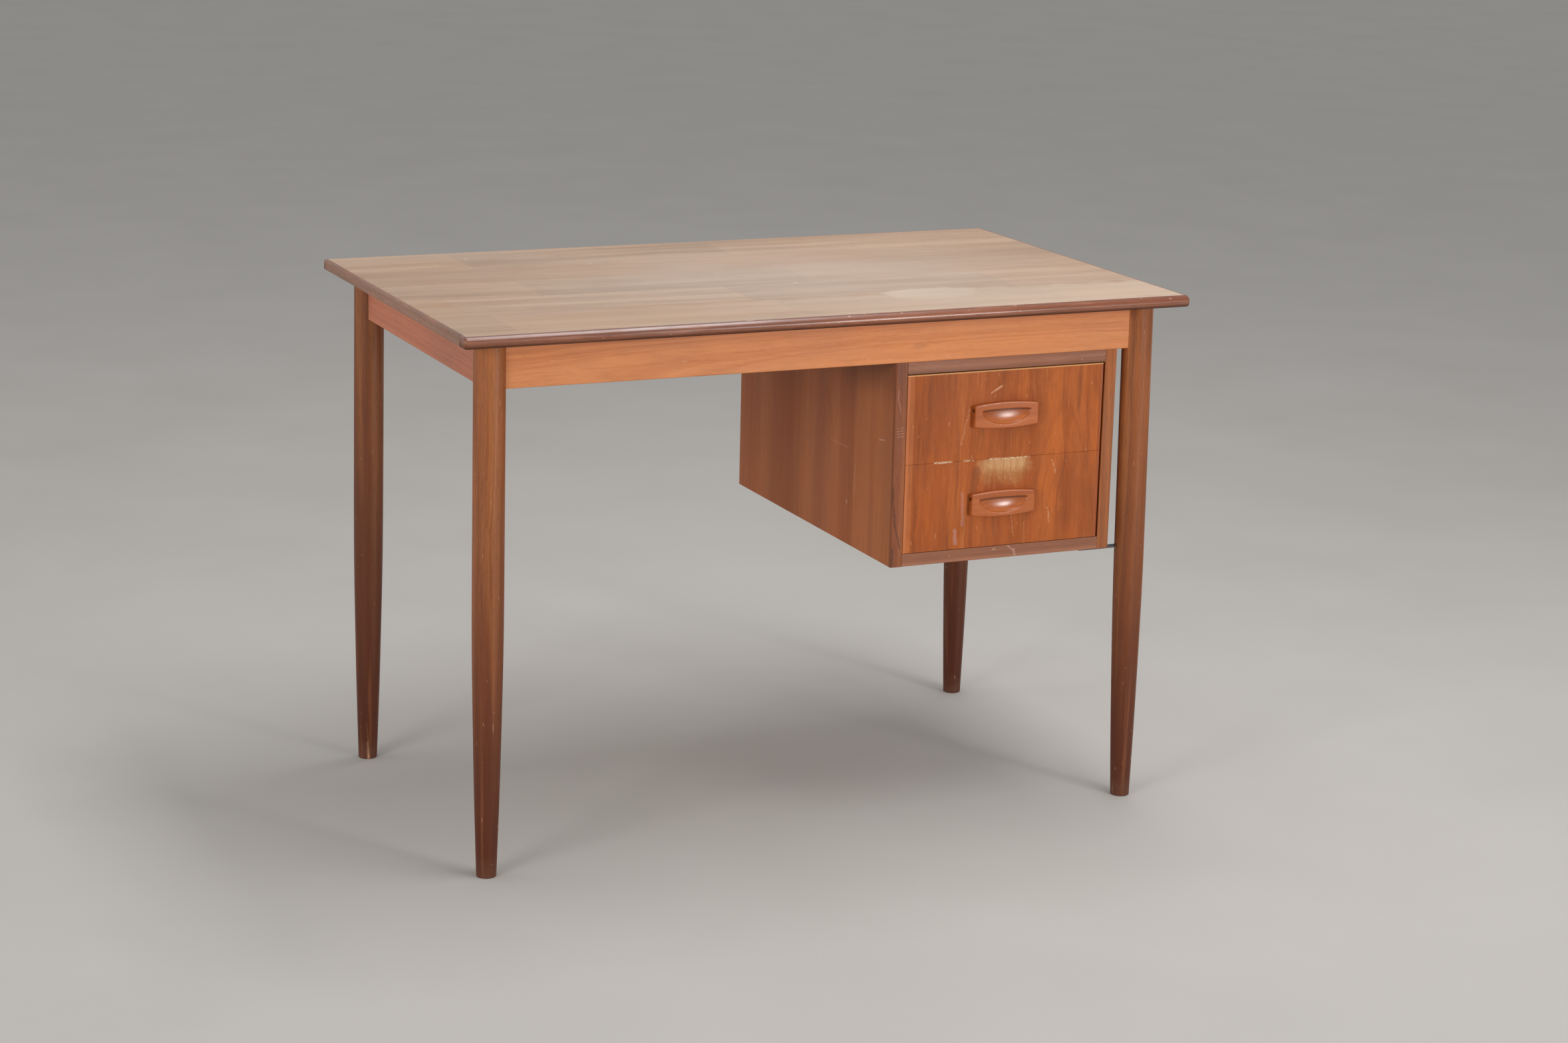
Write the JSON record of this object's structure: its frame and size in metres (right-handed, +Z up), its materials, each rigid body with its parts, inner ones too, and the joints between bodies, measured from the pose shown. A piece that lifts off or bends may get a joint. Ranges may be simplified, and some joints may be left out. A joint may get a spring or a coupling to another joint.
{
  "type": "writing desk",
  "caption": "Wooden writing desk with a veneered top, round tapered legs, aprons and a hung pedestal of drawers with carved finger pulls.",
  "frame": {"origin": "on the floor at the centre of the footprint", "axes": "+Z up, -Y towards the person sitting at the desk (drawer fronts), +X to the pedestal side"},
  "size_m": [1.05, 0.625, 0.732],
  "materials": {
    "top_veneer": "oiled teak veneer, sun-bleached",
    "top_lipping": "oiled solid teak",
    "leg_teak": "oiled turned teak",
    "apron_teak": "oiled teak",
    "apron_end_teak": "oiled teak, darker board",
    "carcass_veneer": "oiled teak veneer",
    "carcass_lipping": "oiled solid teak edge strip",
    "drawer_veneer": "oiled teak veneer, upright grain",
    "drawer_lipping": "oiled solid teak edge strip",
    "pull_teak": "oiled carved teak",
    "board_core": "raw blockboard",
    "under_veneer": "plain balancing veneer",
    "frame_hardwood": "raw beech",
    "drawer_wood": "raw beech, waxed",
    "plywood": "raw plywood",
    "screw_steel": "plain steel",
    "strap_steel": "dull grey steel"
  },
  "bodies": {
    "desk": {"top_veneer": "top_veneer", "top_balancing_veneer": "under_veneer", "top_core": "board_core", "top_lip_front": "top_lipping", "top_lip_rear": "top_lipping", "top_lip_left": "top_lipping", "top_lip_right": "top_lipping", "leg_front_left": "leg_teak", "leg_front_right": "leg_teak", "leg_rear_left": "leg_teak", "leg_rear_right": "leg_teak", "apron_front": "apron_teak", "apron_rear": "apron_teak", "apron_left": "apron_end_teak", "apron_right": "apron_end_teak", "corner_block_front_left": "frame_hardwood", "corner_block_front_right": "frame_hardwood", "corner_block_rear_left": "frame_hardwood", "corner_block_rear_right": "frame_hardwood", "fixing_block_front": "frame_hardwood", "fixing_block_rear": "frame_hardwood", "bearer_left": "frame_hardwood", "bearer_right": "frame_hardwood", "dowels": "frame_hardwood", "top_fixing_screws": "screw_steel", "pedestal_hanging_screws": "screw_steel", "pedestal_back_nails": "screw_steel", "runner_screws": "screw_steel", "strap_screws": "screw_steel", "pedestal_side_left": "carcass_veneer", "pedestal_side_right": "carcass_veneer", "pedestal_top": "carcass_veneer", "pedestal_bottom": "carcass_veneer", "pedestal_lip_left": "carcass_lipping", "pedestal_lip_right": "carcass_lipping", "pedestal_lip_top": "carcass_lipping", "pedestal_lip_bottom": "carcass_lipping", "pedestal_back": "plywood", "steel_strap": "strap_steel", "upper_runner_left": "frame_hardwood", "upper_runner_right": "frame_hardwood", "lower_runner_left": "frame_hardwood", "lower_runner_right": "frame_hardwood"},
    "upper_drawer": {"upper_drawer_front": "drawer_veneer", "upper_drawer_front_lips": "drawer_lipping", "upper_drawer_side_left": "drawer_wood", "upper_drawer_side_right": "drawer_wood", "upper_drawer_back": "drawer_wood", "upper_drawer_bottom": "plywood", "upper_pull": "pull_teak", "upper_pull_screws": "screw_steel"},
    "lower_drawer": {"lower_drawer_front": "drawer_veneer", "lower_drawer_front_lips": "drawer_lipping", "lower_drawer_side_left": "drawer_wood", "lower_drawer_side_right": "drawer_wood", "lower_drawer_back": "drawer_wood", "lower_drawer_bottom": "plywood", "lower_pull": "pull_teak", "lower_pull_screws": "screw_steel"}
  },
  "joints": [
    {"name": "upper_drawer_slide", "type": "slide", "parent": "desk", "child": "upper_drawer", "axis": [0, -1, 0], "range_m": [0, 0.36]},
    {"name": "lower_drawer_slide", "type": "slide", "parent": "desk", "child": "lower_drawer", "axis": [0, -1, 0], "range_m": [0, 0.36]}
  ]
}
